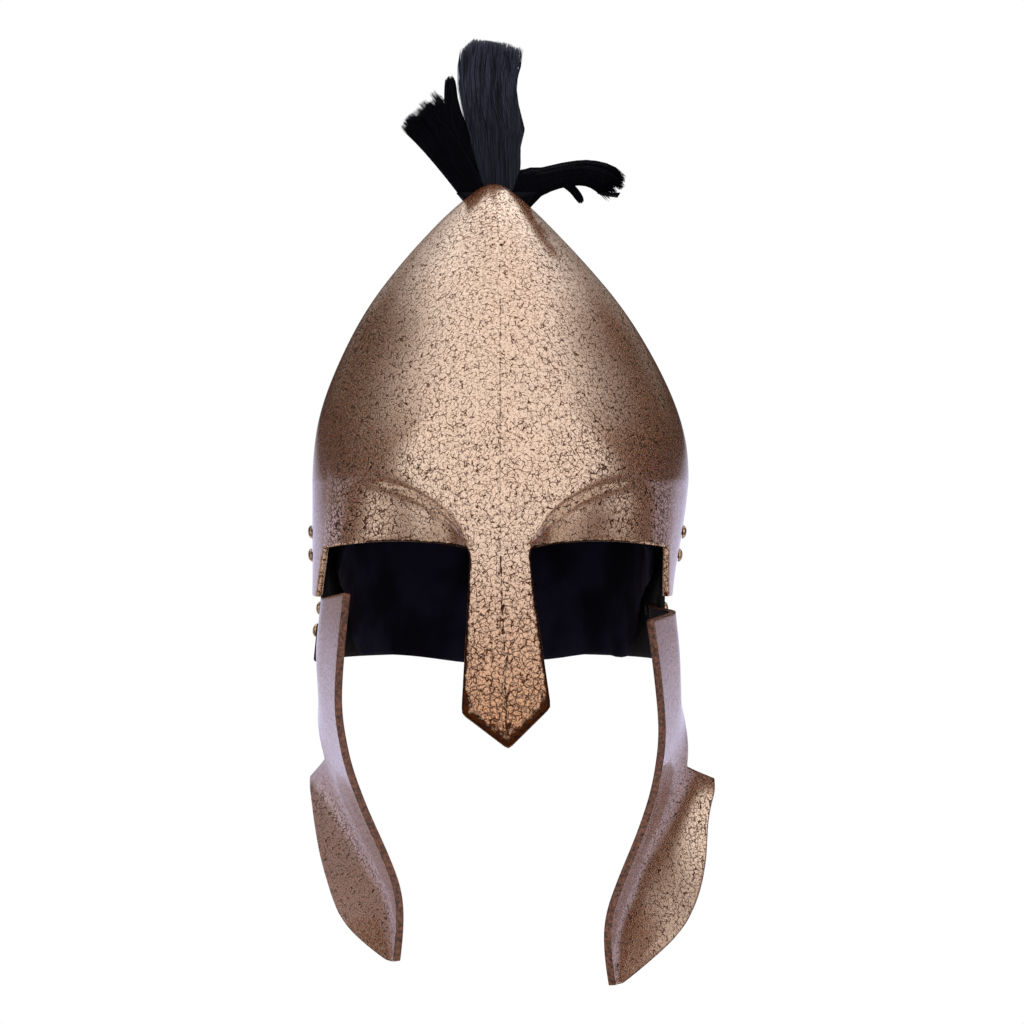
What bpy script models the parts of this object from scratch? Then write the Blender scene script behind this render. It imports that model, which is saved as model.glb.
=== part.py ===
"""A leather helmet of the Corinthian kind, with two hanging cheek plates and a hair plume.

Metres, +Z up. The helmet faces -Y, and +X is the wearer's left. The origin is where the crown
of the head meets the lining. The shell is two moulded halves, front and back, that lap at the
ears. Every leather piece is an open sheet on one ruled surface, thickened by Solidify.
"""

import math

import bmesh
import bpy
from mathutils import Vector

# Leather, cloth and the clearances between pieces
LEATHER = 0.0036
CHEEK_LEATHER = 0.0040
LINING_CLOTH = 0.0030
LAP_GAP = 0.0007
SEAT_GAP = 0.0004

# Shell: overall sizes of the outer surface
SHELL_WIDTH = 0.203
SHELL_FRONT = 0.116
SHELL_BACK = 0.124
DOME_HEIGHT = 0.198
BROW_Z = -0.108
SIDE_DROP = 0.026
NAPE_DROP = 0.062
NAPE_FLARE = 0.005
LAP = 0.009
# The lap narrows from LAP_TOP to nothing over LAP_TAPER, both shares of DOME_HEIGHT.
LAP_TOP = 0.24
LAP_TAPER = 0.12

# Sections of the shell from nape to peak. Height is a share of DOME_HEIGHT above the brow, and
# the others are shares of half SHELL_WIDTH, SHELL_FRONT and SHELL_BACK. Sway moves a section
# across, as the hide has settled. Crest 0 is an ellipse, and 1 a lens with an edge at the ears.
SECTION_COLUMNS = ("height", "width", "front", "back", "sway", "crest")
SHELL_SECTIONS = (
    (-0.33, 0.950, 0.930, 0.935, -0.048, 0.00),
    (-0.13, 0.955, 0.965, 0.960, -0.044, 0.00),
    (0.04, 0.982, 0.994, 0.990, -0.019, 0.00),
    (0.13, 0.995, 1.000, 1.000, -0.006, 0.00),
    (0.24, 1.000, 0.983, 1.000, 0.000, 0.08),
    (0.36, 0.957, 0.920, 0.960, -0.008, 0.45),
    (0.51, 0.835, 0.770, 0.830, -0.019, 0.75),
    (0.66, 0.664, 0.590, 0.640, -0.032, 0.77),
    (0.80, 0.440, 0.375, 0.420, -0.042, 0.75),
    (0.87, 0.310, 0.260, 0.300, -0.044, 0.75),
    (0.95, 0.150, 0.118, 0.145, -0.042, 0.75),
    (1.00, 0.000, 0.000, 0.000, -0.036, 0.75),
)

# Ridge down the middle of the forehead
RIDGE = 0.0022
RIDGE_SPREAD = 0.012

# Eye openings, brow relief and nasal
EYE_CORNER_TURN = 62.3
EYE_CORNER_SLANT = 6.0
CORNER_FOLD = 0.0032
CORNER_FOLD_RISE = 0.056
CORNER_FOLD_SPREAD = 13.0
BROW_ARCH = 0.0028
BROW_SETBACK = 0.0044
BROW_LEAN = 0.0030
BROW_STEP = 0.0065
BROW_RIDGE_START = 0.016
BROW_RIDGE_END = 0.070
BROW_RIDGE_LOW = 0.003
BROW_RIDGE_HIGH = 0.037
NASAL_ROOT = 0.030
NASAL_FOOT = 0.046
NASAL_LENGTH = 0.1015
NASAL_POINT = 0.0195
NASAL_BOW = 0.0052
NASAL_KICK = 0.0015
NASAL_SWAY = 0.0042
NASAL_TILT = 0.07

# Cheek plates, as they hang before each is swung. Drop is a share of CHEEK_LENGTH, and the
# lengths are shares of CHEEK_REACH. Left and right are how far each plate sweeps from its front
# edge to the end of its flare, which the two were cut to by hand.
CHEEK_LENGTH = 0.1880
CHEEK_REACH = 0.092
CHEEK_TOP_GAP = 0.0048
CHEEK_COLUMNS = (
    "drop", "front_x", "front_y", "neck", "left", "right", "bend_at", "bend_soft", "heading", "flare",
)
CHEEK_SECTIONS = (
    (0.00, 0.875, -0.826, 0.925, 0.925, 0.925, 0.62, 0.22, 20.0, -16.0),
    (0.15, 0.910, -0.837, 0.890, 0.890, 0.890, 0.61, 0.22, 18.5, -12.0),
    (0.32, 0.930, -0.859, 0.750, 0.750, 0.750, 0.50, 0.30, 14.0, 4.0),
    (0.45, 0.890, -0.885, 0.645, 0.872, 0.960, 0.56, 0.28, 11.0, 16.0),
    (0.50, 0.862, -0.897, 0.620, 0.850, 0.945, 0.58, 0.22, 11.0, 22.0),
    (0.60, 0.785, -0.930, 0.550, 0.812, 0.885, 0.50, 0.18, 11.0, 33.0),
    (0.72, 0.675, -0.972, 0.480, 0.825, 0.815, 0.34, 0.17, 13.0, 39.0),
    (0.82, 0.600, -1.000, 0.400, 0.780, 0.700, 0.20, 0.16, 15.0, 42.0),
    (0.92, 0.592, -1.015, 0.250, 0.530, 0.445, 0.10, 0.12, 22.0, 46.0),
    (1.00, 0.611, -1.015, 0.040, 0.075, 0.070, 0.03, 0.05, 30.0, 46.0),
)
NOTCH_DROP = 0.45
FLARE_TOP_SLOPE = 0.009
TUCK_START = -0.034
TUCK_END = -0.012
TWIST_START = 0.30
TWIST_END = 0.56
TWIST_FROM = 0.35
SWING = {"left": -4.4, "right": 5.4}
SPLAY = {"left": 1.4, "right": -0.8}
SPLAY_DROP = 0.27
TWIST = {"left": 0.27, "right": 0.0}
CURL = {"left": 30.0, "right": 4.0}
CURL_FROM = 0.50
CURL_TO = 0.86
CURL_END = 0.86
SIDES = {"left": 1, "right": -1}

# Rivets: two through both shells and two through the back shell and the cheek plate, each side
RIVET_SHANK = 0.0015
RIVET_CAP = 0.0040
RIVET_DOME = 0.0022
RIVET_WASHER = 0.0034
RIVET_WASHER_THICK = 0.0010
RIVET_LAP_DROPS = (-0.0078, 0.0047)
RIVET_CHEEK_DROPS = (0.0335, 0.0455)
RIVET_CHEEK_BACK = 0.005

# Lining: a cap that follows the shell, open at the face
LINING_BROW_RISE = 0.007
LINING_SIDE_DROP = 0.0235
LINING_HEM_DROP = 0.0665
LINING_HEM_WAVE = 0.0030
LINING_HEM_CORNER = 0.0028
LINING_WALL_TOP = -0.048
LINING_DOME_LEAN = 28.0
LINING_RIVET_ROOM = 0.0018
LINING_ROOM = 0.0010

# Plume: a bound root in the peak of the back shell, and three locks of hair
PLUME_HOLE_HEIGHT = 0.905
PLUME_ROOT_DEPTH = 0.020
PLUME_ROOT_RISE = 0.004
PLUME_HEIGHT = 0.080
PLUME_SPREAD = 0.066
LOCK_COLUMNS = ("across", "back", "rise", "half_width", "half_depth")
# Across and half sizes are shares of PLUME_SPREAD, back and rise of PLUME_HEIGHT from the hole.
LOCKS = {
    "tall": (
        (-0.060, 0.130, -0.005, 0.150, 0.075),
        (-0.060, 0.140, 0.175, 0.205, 0.090),
        (-0.055, 0.150, 0.355, 0.210, 0.105),
        (-0.060, 0.160, 0.535, 0.230, 0.115),
        (-0.095, 0.170, 0.735, 0.245, 0.120),
        (-0.125, 0.180, 0.935, 0.232, 0.120),
        (-0.095, 0.190, 1.095, 0.255, 0.110),
        (-0.060, 0.195, 1.180, 0.205, 0.090),
        (-0.050, 0.195, 1.220, 0.120, 0.050),
    ),
    "leaning": (
        (-0.100, 0.140, -0.005, 0.100, 0.065),
        (-0.200, 0.150, 0.155, 0.130, 0.075),
        (-0.330, 0.170, 0.335, 0.170, 0.085),
        (-0.455, 0.190, 0.505, 0.215, 0.085),
        (-0.545, 0.210, 0.645, 0.245, 0.075),
        (-0.600, 0.220, 0.755, 0.200, 0.055),
        (-0.620, 0.225, 0.810, 0.110, 0.035),
    ),
    "drooping": (
        (0.020, 0.140, -0.005, 0.100, 0.065),
        (0.110, 0.150, 0.125, 0.130, 0.075),
        (0.250, 0.155, 0.225, 0.100, 0.070),
        (0.410, 0.160, 0.280, 0.075, 0.065),
        (0.580, 0.165, 0.297, 0.090, 0.070),
        (0.750, 0.165, 0.280, 0.120, 0.070),
        (0.890, 0.165, 0.235, 0.125, 0.060),
        (1.000, 0.165, 0.185, 0.080, 0.045),
    ),
}

# Grid counts of the sheets
NASAL_COLUMNS = 3
EYE_COLUMNS = 11
EAR_COLUMNS = 5
LOW_ROWS = 8
BROW_ROWS = 6
DOME_ROWS = 14
BACK_COLUMNS = 11
BACK_ROWS = 19
LINING_COLUMNS = 16
LINING_WALL_ROWS = 8
LINING_DOME_ROWS = 5
CHEEK_BAND_COLUMNS = 8
CHEEK_FLARE_COLUMNS = 4
CHEEK_NECK_ROWS = 9
CHEEK_BLADE_ROWS = 11
ROOT_COLUMNS = 8
LOCK_SIDES = 10
LOCK_ROWS = 12
RIVET_STEPS = 10
TOP_RING = 0.968
MERGE = 0.00001


def smooth(share):
    """0 below 0, 1 above 1, and a smooth step between."""
    share = min(1.0, max(0.0, share))
    return share * share * (3 - 2 * share)


def mix(first, last, share):
    return first + (last - first) * share


def row_at(table, columns, place):
    """The table's columns at a place along its first one, on smooth curves through its rows."""
    places = [row[0] for row in table]
    place = min(places[-1], max(places[0], place))
    k = max(i for i in range(len(table) - 1) if places[i] <= place)
    gap = places[k + 1] - places[k]
    t = (place - places[k]) / gap
    found = {columns[0]: place}
    for c in range(1, len(columns)):
        before, here = table[max(k - 1, 0)], table[k]
        there, after = table[k + 1], table[min(k + 2, len(table) - 1)]
        leave = (there[c] - before[c]) / (there[0] - before[0]) * gap
        arrive = (after[c] - here[c]) / (after[0] - here[0]) * gap
        found[columns[c]] = (
            (2 * t**3 - 3 * t**2 + 1) * here[c]
            + (t**3 - 2 * t**2 + t) * leave
            + (3 * t**2 - 2 * t**3) * there[c]
            + (t**3 - t**2) * arrive
        )
    return found


# The shell's outer surface


def shell_point(turn, z):
    """A point of the outer surface. Turn is 0 at the forehead, 90 at the ear, 180 at the nape."""
    section = row_at(SHELL_SECTIONS, SECTION_COLUMNS, (z - BROW_Z) / DOME_HEIGHT)
    angle = math.radians(turn)
    fall = abs(math.cos(angle))
    fall = mix(fall, fall * fall, section["crest"])
    x = section["width"] * SHELL_WIDTH / 2 * math.sin(angle)
    if math.cos(angle) > 0:
        y = -section["front"] * SHELL_FRONT * fall
        y -= RIDGE * min(1.0, 3 * section["front"]) * math.exp(-abs(x) / RIDGE_SPREAD)
    else:
        y = section["back"] * SHELL_BACK * fall
    return Vector((x, y, z))


def shell_normal(turn, z, step=1.5, rise=0.002):
    """The outward normal of the outer surface, across a step to each side."""
    across = shell_point(turn + step, z) - shell_point(turn - step, z)
    up = shell_point(turn, z + rise) - shell_point(turn, z - rise)
    return across.cross(up).normalized()


def inner_point(turn, z, depth, normal_turn=None):
    """A point that lies depth under the outer surface."""
    normal = shell_normal(turn if normal_turn is None else normal_turn, z)
    return shell_point(turn, z) - normal * depth


def ear_lap(z):
    """How far each half laps past the ear line: nothing over the crest, LAP lower down."""
    height = (z - BROW_Z) / DOME_HEIGHT
    return LAP * (1 - smooth((height - LAP_TOP) / LAP_TAPER))


def turn_past_ear(z, depth):
    return math.degrees(math.asin(ear_lap(z) / depth))


def back_depth(z):
    """How deep the back shell's outer face lies: under the front shell, and flush at the nape."""
    low = smooth((BROW_Z - SIDE_DROP - z) / (NAPE_DROP - SIDE_DROP))
    return (LEATHER + LAP_GAP) * (1 - low)


# Helpers that make objects


def paint(obj, name, colour, roughness, metallic=0.0):
    material = bpy.data.materials.get(name) or bpy.data.materials.new(name)
    material.use_nodes = True
    shader = material.node_tree.nodes["Principled BSDF"]
    shader.inputs["Base Color"].default_value = (*colour, 1.0)
    shader.inputs["Roughness"].default_value = roughness
    shader.inputs["Metallic"].default_value = metallic
    obj.data.materials.append(material)


def gold_leather(obj):
    paint(obj, "gold_leather", (0.56, 0.38, 0.20), 0.42, 0.55)


def black_cloth(obj):
    paint(obj, "black_cloth", (0.012, 0.012, 0.018), 0.9)


def black_hair(obj):
    paint(obj, "black_hair", (0.010, 0.010, 0.014), 0.45)


def antique_brass(obj):
    paint(obj, "antique_brass", (0.42, 0.29, 0.16), 0.35, 0.9)


def link_object(name, mesh, collection, location=(0, 0, 0)):
    obj = bpy.data.objects.new(name, mesh)
    obj.location = location
    collection.objects.link(obj)
    return obj


def swayed(point):
    """Moves a point of the shell by its sway: fully at the sides, and little at the ridge."""
    height = (point.z - BROW_Z) / DOME_HEIGHT
    section = row_at(SHELL_SECTIONS, SECTION_COLUMNS, height)
    side = min(1.0, abs(point.x) / max(section["width"] * SHELL_WIDTH / 2, 0.001))
    side = mix(side, 1.0, smooth((height - 0.85) / 0.1)) if point.y < 0 else 1.0
    return Vector((point.x + section["sway"] * SHELL_WIDTH / 2 * side, point.y, point.z))


def two_sided(columns, place):
    """Lays out both halves of the shell from the place of one half's grid corners."""

    def both(i, j):
        point = place(abs(i - columns), j)
        if i < columns:
            point.x = -point.x
        return swayed(point)

    return both


def sheet(name, columns, rows, place, keep, collection):
    """A grid of columns by rows whose corner (i, j) lies at place(i, j), with the kept faces."""
    bm = bmesh.new()
    bmesh.ops.create_grid(bm, x_segments=columns, y_segments=rows, size=1)
    corners = {}
    for vertex in bm.verts:
        i = round((vertex.co.x + 1) / 2 * columns)
        j = round((vertex.co.y + 1) / 2 * rows)
        corners[vertex] = (i, j)
    dropped = []
    for face in bm.faces:
        i = min(corners[v][0] for v in face.verts)
        j = min(corners[v][1] for v in face.verts)
        if not keep(i, j):
            dropped.append(face)
    bmesh.ops.delete(bm, geom=dropped, context="FACES")
    for vertex in bm.verts:
        vertex.co = place(*corners[vertex])
    bmesh.ops.remove_doubles(bm, verts=bm.verts, dist=MERGE)
    mesh = bpy.data.meshes.new(name)
    bm.to_mesh(mesh)
    bm.free()
    return link_object(name, mesh, collection)


def thickened(obj, thickness):
    modifier = obj.modifiers.new("wall", "SOLIDIFY")
    modifier.thickness = thickness
    modifier.offset = -1
    modifier.use_even_offset = True


def cut_by(obj, cutters):
    modifier = obj.modifiers.new("holes", "BOOLEAN")
    modifier.operand_type = "COLLECTION"
    modifier.collection = cutters
    modifier.operation = "DIFFERENCE"


def always(i, j):
    return True


def helper(obj):
    obj.hide_render = True
    obj.display_type = "WIRE"


# Front shell: forehead, brow, nasal and the panels beside the eyes


NASAL_EDGE = NASAL_COLUMNS
EYE_CORNER = NASAL_COLUMNS + EYE_COLUMNS
EAR_EDGE = EYE_CORNER + EAR_COLUMNS
BROW_ROW = LOW_ROWS
RIDGE_ROW = LOW_ROWS + BROW_ROWS
PEAK_ROW = RIDGE_ROW + DOME_ROWS


def eye_corner_turn(z):
    return EYE_CORNER_TURN + EYE_CORNER_SLANT * min(1.0, max(0.0, (BROW_Z - z) / SIDE_DROP))


def front_turn(column, z):
    """The turn of a column at a height. The eye corner moves back as it goes down."""
    width = row_at(SHELL_SECTIONS, SECTION_COLUMNS, 0)["width"] * SHELL_WIDTH / 2
    nasal = math.degrees(math.asin((NASAL_ROOT / 2 + 0.0015) / width))
    corner = eye_corner_turn(z)
    if column <= NASAL_EDGE:
        return nasal * column / NASAL_COLUMNS
    if column <= EYE_CORNER:
        return mix(nasal, corner, (column - NASAL_EDGE) / EYE_COLUMNS)
    ear = 90 + turn_past_ear(z, SHELL_BACK)
    return mix(corner, ear, (column - EYE_CORNER) / EAR_COLUMNS)


def brow_edge(column):
    share = (column - NASAL_EDGE) / EYE_COLUMNS
    if not 0 <= share <= 1:
        return BROW_Z
    return BROW_Z + BROW_ARCH * math.sin(math.pi * share)


def brow_ridge(x):
    """Height of the brow ridge's crest: up from the nasal's root, and level over the temple."""
    share = (x - BROW_RIDGE_START) / (BROW_RIDGE_END - BROW_RIDGE_START)
    share = min(1.0, max(0.0, share))
    rise = math.sin(share * math.pi / 2) ** 0.65
    return BROW_Z + mix(BROW_RIDGE_LOW, BROW_RIDGE_HIGH, rise)


def brow_setback(x, z):
    """How far the brow is set back: in under the ridge, and fading towards nose and temple."""
    ridge = brow_ridge(x)
    under = smooth((ridge - z) / BROW_STEP)
    lean = BROW_LEAN * min(1.0, max(0.0, (ridge - z) / (ridge - BROW_Z)))
    inner = smooth((x - BROW_RIDGE_START) / 0.010)
    outer = 1 - smooth((x - BROW_RIDGE_END + 0.014) / 0.026)
    return (BROW_SETBACK * under + lean) * inner * outer


def corner_fold(turn, z):
    """How far the crease that rises from the eye's corner stands out: nothing at the ear."""
    near = math.exp(-abs(turn - eye_corner_turn(z)) / CORNER_FOLD_SPREAD)
    near *= 1 - smooth((turn - 76) / 10)
    return CORNER_FOLD * near * (1 - smooth((z - BROW_Z) / CORNER_FOLD_RISE))


def front_surface(turn, z):
    point = shell_point(turn, z)
    move = corner_fold(turn, z) - brow_setback(point.x, z)
    return point + shell_normal(turn, z) * move


def dome_place(column, row):
    level = shell_point(front_turn(column, BROW_Z), BROW_Z)
    low, ridge = brow_edge(column), brow_ridge(level.x)
    foot = ridge - min(BROW_STEP, (ridge - low) / 2)
    if row <= RIDGE_ROW - 2:
        z = mix(low, foot, (row - BROW_ROW) / (BROW_ROWS - 2))
    elif row <= RIDGE_ROW:
        z = mix(foot, ridge, (row - RIDGE_ROW + 2) / 2)
    elif row < PEAK_ROW:
        share = ((row - RIDGE_ROW) / (DOME_ROWS - 1)) ** 0.92
        z = mix(ridge, BROW_Z + DOME_HEIGHT * TOP_RING, share)
    else:
        z = BROW_Z + DOME_HEIGHT
    return front_surface(front_turn(column, z), z)


def nasal_place(column, row):
    share = ((BROW_ROW - row) / LOW_ROWS) ** 1.3
    root = dome_place(column, BROW_ROW)
    foot = NASAL_FOOT / 2
    across = column / NASAL_COLUMNS
    spread = mix(NASAL_ROOT / 2, foot, share)
    spread = mix(root.x / max(across, 0.01), spread, smooth(share * 14)) if across else 0
    z_foot = BROW_Z - NASAL_LENGTH + NASAL_POINT * across
    middle = shell_point(0, BROW_Z).y
    flank = middle + NASAL_BOW * across**1.4
    y = mix(root.y, flank, smooth(share * 4)) - NASAL_KICK * share**2
    return Vector((spread * across, y, mix(root.z, z_foot, share)))


def settled(point, column, row):
    """The nasal has settled to one side at its foot, and tilts with that."""
    if row < BROW_ROW and column <= NASAL_EDGE:
        share = 1 - row / BROW_ROW
        point.z += NASAL_TILT * point.x * share
        point.x += NASAL_SWAY * share**1.2
    return point


def panel_place(column, row):
    z = mix(BROW_Z, BROW_Z - SIDE_DROP, (BROW_ROW - row) / LOW_ROWS)
    return front_surface(front_turn(column, z), z)


def front_place(column, row):
    if row >= BROW_ROW:
        return dome_place(column, row)
    if column <= NASAL_EDGE:
        return nasal_place(column, row)
    return panel_place(column, row)


def make_front_shell(collection, cutters):
    def kept(i, j):
        column = i - EAR_EDGE if i >= EAR_EDGE else EAR_EDGE - 1 - i
        return j >= BROW_ROW or column < NASAL_EDGE or column >= EYE_CORNER

    def place(i, j):
        point = two_sided(EAR_EDGE, front_place)(i, j)
        return settled(point, abs(i - EAR_EDGE), j)

    shell = sheet("front_shell", 2 * EAR_EDGE, PEAK_ROW, place, kept, collection)
    thickened(shell, LEATHER)
    cut_by(shell, cutters)
    gold_leather(shell)
    return shell


# Back shell: from the ears to the nape, open at the peak for the plume


PLUME_HOLE_Z = BROW_Z + DOME_HEIGHT * PLUME_HOLE_HEIGHT


def back_place(column, row):
    low, high = BROW_Z - NAPE_DROP, PLUME_HOLE_Z
    z = mix(low, high, row / BACK_ROWS)
    start = 90.7 - turn_past_ear(z, SHELL_FRONT)
    share = column / BACK_COLUMNS
    turn = mix(start, 180, share)
    depth = back_depth(z) - NAPE_FLARE * smooth((low + 0.03 - z) / 0.03) * smooth(2 * share - 0.5)
    return inner_point(turn, z, depth, max(turn, 91.5) if ear_lap(z) < LAP / 4 else turn)


def make_back_shell(collection, cutters):
    place = two_sided(BACK_COLUMNS, lambda i, j: back_place(BACK_COLUMNS - i, j))
    shell = sheet("back_shell", 2 * BACK_COLUMNS, BACK_ROWS, place, always, collection)
    shell.data.flip_normals()
    thickened(shell, LEATHER)
    cut_by(shell, cutters)
    gold_leather(shell)
    return shell


# Cheek plates: a band from the rivets, with a blade that flares out below


def cheek_sweep(row, length, curl):
    """The point on a section that lies length behind its front edge. Curl turns its rear out."""
    steps = 24
    x, y = row["front_x"] * SHELL_WIDTH / 2 * 0.905, row["front_y"] * CHEEK_REACH
    bend = row["bend_at"] * CHEEK_REACH
    soft = row["bend_soft"] * CHEEK_REACH
    for k in range(steps):
        along = length * (k + 0.5) / steps
        bent = smooth((along - bend + soft) / (2 * soft))
        outer = smooth((along / CHEEK_REACH - CURL_FROM) / (CURL_TO - CURL_FROM))
        heading = math.radians(mix(row["heading"], row["flare"], bent) + curl * outer)
        x += math.sin(heading) * length / steps
        y += math.cos(heading) * length / steps
    return x, y


def cheek_point(side, drop, share, in_flare):
    """A point of a plate's outer face. Share runs over the band, or over the flare behind it."""
    row = row_at(CHEEK_SECTIONS, CHEEK_COLUMNS, drop)
    neck, reach = row["neck"] * CHEEK_REACH, row[side] * CHEEK_REACH
    length = mix(neck, reach, share) if in_flare else neck * share
    curled = smooth((drop - TWIST_START) / (NOTCH_DROP - TWIST_START))
    curled *= 1 - smooth((drop - TWIST_END) / (CURL_END - TWIST_END))
    x, y = cheek_sweep(row, length, CURL[side] * curled)
    top = BROW_Z - SIDE_DROP - CHEEK_TOP_GAP
    z = top - CHEEK_LENGTH * drop
    if in_flare:
        z -= FLARE_TOP_SLOPE * share * (1 - smooth((drop - NOTCH_DROP) / 0.12))
    behind = max(0.0, y - (row["front_y"] + TWIST_FROM) * CHEEK_REACH)
    x += TWIST[side] * behind * smooth((drop - TWIST_START) / (TWIST_END - TWIST_START))
    x += math.tan(math.radians(SPLAY[side])) * CHEEK_LENGTH * (drop - SPLAY_DROP)
    pivot = Vector((0, RIVET_CHEEK_BACK, BROW_Z - RIVET_CHEEK_DROPS[0]))
    angle = math.radians(SWING[side])
    dy, dz = y - pivot.y, z - pivot.z
    y = pivot.y + dy * math.cos(angle) + dz * math.sin(angle)
    z = pivot.z - dy * math.sin(angle) + dz * math.cos(angle)
    return tucked(Vector((x, y, z)), SIDES[side])


def wall_x(y, z, depth):
    """The x of the surface that lies depth under the shell's outer face, at a given y."""
    section = row_at(SHELL_SECTIONS, SECTION_COLUMNS, (z - BROW_Z) / DOME_HEIGHT)
    reach = section["front"] * SHELL_FRONT if y < 0 else section["back"] * SHELL_BACK
    fall = math.sqrt(max(0.0, 1 - (y / reach) ** 2))
    return section["width"] * SHELL_WIDTH / 2 * fall - depth


def tucked(point, sign):
    """Brings the plate's rear in under the back shell, where the rivets hold it."""
    hem = BROW_Z - NAPE_DROP
    held = smooth((point.y - TUCK_START) / (TUCK_END - TUCK_START))
    held *= smooth((point.z - hem + 0.022) / 0.020)
    level = max(point.z, hem)
    inside = wall_x(min(point.y, 0.05), level, back_depth(level))
    inside = sign * swayed(Vector((sign * inside, 0, level))).x
    point.x = mix(point.x, inside - LEATHER - LAP_GAP, held)
    return point


def cheek_place(side):
    def place(column, row):
        notch = CHEEK_BLADE_ROWS
        if row >= notch:
            drop = mix(NOTCH_DROP, 0.0, (row - notch) / CHEEK_NECK_ROWS)
        else:
            drop = mix(NOTCH_DROP, 1.0, (notch - row) / CHEEK_BLADE_ROWS)
        if column <= CHEEK_BAND_COLUMNS:
            point = cheek_point(side, drop, column / CHEEK_BAND_COLUMNS, False)
        else:
            share = (column - CHEEK_BAND_COLUMNS) / CHEEK_FLARE_COLUMNS
            point = cheek_point(side, drop, share, True)
        point.x *= SIDES[side]
        return point

    return place


def make_cheek_plate(side, collection, cutters):
    def kept(i, j):
        return i < CHEEK_BAND_COLUMNS or j < CHEEK_BLADE_ROWS

    columns = CHEEK_BAND_COLUMNS + CHEEK_FLARE_COLUMNS
    rows = CHEEK_NECK_ROWS + CHEEK_BLADE_ROWS
    plate = sheet(f"cheek_plate_{side}", columns, rows, cheek_place(side), kept, collection)
    if side == "right":
        plate.data.flip_normals()
    thickened(plate, CHEEK_LEATHER)
    cut_by(plate, cutters)
    gold_leather(plate)
    return plate


# Lining: a padded cap, with its lower edge over the brow, round the cheek plates and at the nape


def lining_low(turn):
    brow = BROW_Z + LINING_BROW_RISE
    side = BROW_Z - LINING_SIDE_DROP
    hem = BROW_Z - LINING_HEM_DROP - LINING_HEM_WAVE * math.cos(math.radians(turn * 4))
    hem += LINING_HEM_CORNER * (1 - smooth((turn - 108) / 22))
    z = mix(brow, side, smooth((turn - 62) / 9))
    return mix(z, hem, smooth((turn - 101) / 9))


def lining_depth(turn, z):
    """Under the front shell alone at the brow, and under both shells and the rivets behind."""
    behind = smooth((turn - 68) / 14)
    rivets = smooth((turn - 70) / 12) * (1 - smooth((turn - 98) / 12))
    layers = LEATHER + LAP_GAP + (back_depth(z) + LAP_GAP) * behind
    layers += (LEATHER - back_depth(z)) * behind if back_depth(z) < LEATHER else LAP_GAP * behind
    return layers + LINING_ROOM + LINING_RIVET_ROOM * rivets


def lining_place(column, row):
    turn = 180 * column / LINING_COLUMNS
    low = lining_low(turn)
    wall = min(1.0, row / LINING_WALL_ROWS)
    z = mix(low, LINING_WALL_TOP, wall)
    x = shell_point(turn, z).x
    room = max(brow_setback(x - 0.008, z - 0.004), brow_setback(x + 0.008, z - 0.004))
    room = room if turn < 90 else 0
    point = inner_point(turn, z, lining_depth(turn, z) + room)
    if row > LINING_WALL_ROWS:
        share = (row - LINING_WALL_ROWS) / LINING_DOME_ROWS
        start = math.radians(LINING_DOME_LEAN)
        angle = mix(start, math.pi / 2, share)
        point.x *= math.cos(angle) / math.cos(start)
        point.y *= math.cos(angle) / math.cos(start)
        rise = (math.sin(angle) - math.sin(start)) / (1 - math.sin(start))
        point.z = mix(point.z, LINING_CLOTH, rise)
    return point


def make_lining(collection):
    rows = LINING_WALL_ROWS + LINING_DOME_ROWS
    place = two_sided(LINING_COLUMNS, lining_place)
    lining = sheet("lining", 2 * LINING_COLUMNS, rows, place, always, collection)
    thickened(lining, LINING_CLOTH)
    black_cloth(lining)
    return lining


# Rivets


def rivet_places():
    """For each rivet its name, the outer face it sits on, the outward normal, and the leather."""
    for side, sign in SIDES.items():
        drops = (*RIVET_LAP_DROPS, *RIVET_CHEEK_DROPS)
        for number, drop in enumerate(drops, 1):
            z = BROW_Z - drop
            if drop in RIVET_LAP_DROPS:
                point, normal = shell_point(90, z), shell_normal(90, z)
                grip = 2 * LEATHER + LAP_GAP
            else:
                y = RIVET_CHEEK_BACK
                point = Vector((wall_x(y, z, back_depth(z)), y, z))
                higher = Vector((wall_x(y, z + 0.003, back_depth(z + 0.003)), y, z + 0.003))
                behind = Vector((wall_x(y + 0.003, z, back_depth(z)), y + 0.003, z))
                normal = (behind - point).cross(higher - point).normalized()
                grip = LEATHER + CHEEK_LEATHER + LAP_GAP
            point.x *= sign
            normal.x *= sign
            point = swayed(point)
            yield f"rivet_{side}_{number}", point, normal, grip


def turned(name, profile, steps, collection):
    """A solid turned about Z from a profile of (radius, height), from its top down."""
    bm = bmesh.new()
    vertices = [bm.verts.new((radius, 0, height)) for radius, height in profile]
    for first, last in zip(vertices, vertices[1:]):
        bm.edges.new((first, last))
    mesh = bpy.data.meshes.new(name)
    bm.to_mesh(mesh)
    bm.free()
    obj = link_object(name, mesh, collection)
    modifier = obj.modifiers.new("turn", "SCREW")
    modifier.steps = modifier.render_steps = steps
    modifier.use_merge_vertices = True
    modifier.merge_threshold = MERGE
    modifier.use_smooth_shade = True
    return obj


def rivet_profile(grip):
    seat = SEAT_GAP
    dome = [
        (RIVET_CAP * math.sin(a), seat + RIVET_DOME * math.cos(a))
        for a in (0, 0.5, 1.05, math.pi / 2)
    ]
    dome[0] = (0, seat + RIVET_DOME)
    under = -grip - 2 * SEAT_GAP
    return [
        *dome,
        (RIVET_SHANK, seat),
        (RIVET_SHANK, under),
        (RIVET_WASHER, under),
        (RIVET_WASHER * 0.9, under - RIVET_WASHER_THICK),
        (0, under - RIVET_WASHER_THICK),
    ]


def make_rivets(collection):
    for name, point, normal, grip in rivet_places():
        rivet = turned(name, rivet_profile(grip), RIVET_STEPS, collection)
        rivet.location = point
        rivet.rotation_euler = normal.to_track_quat("Z", "Y").to_euler()
        antique_brass(rivet)


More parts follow.
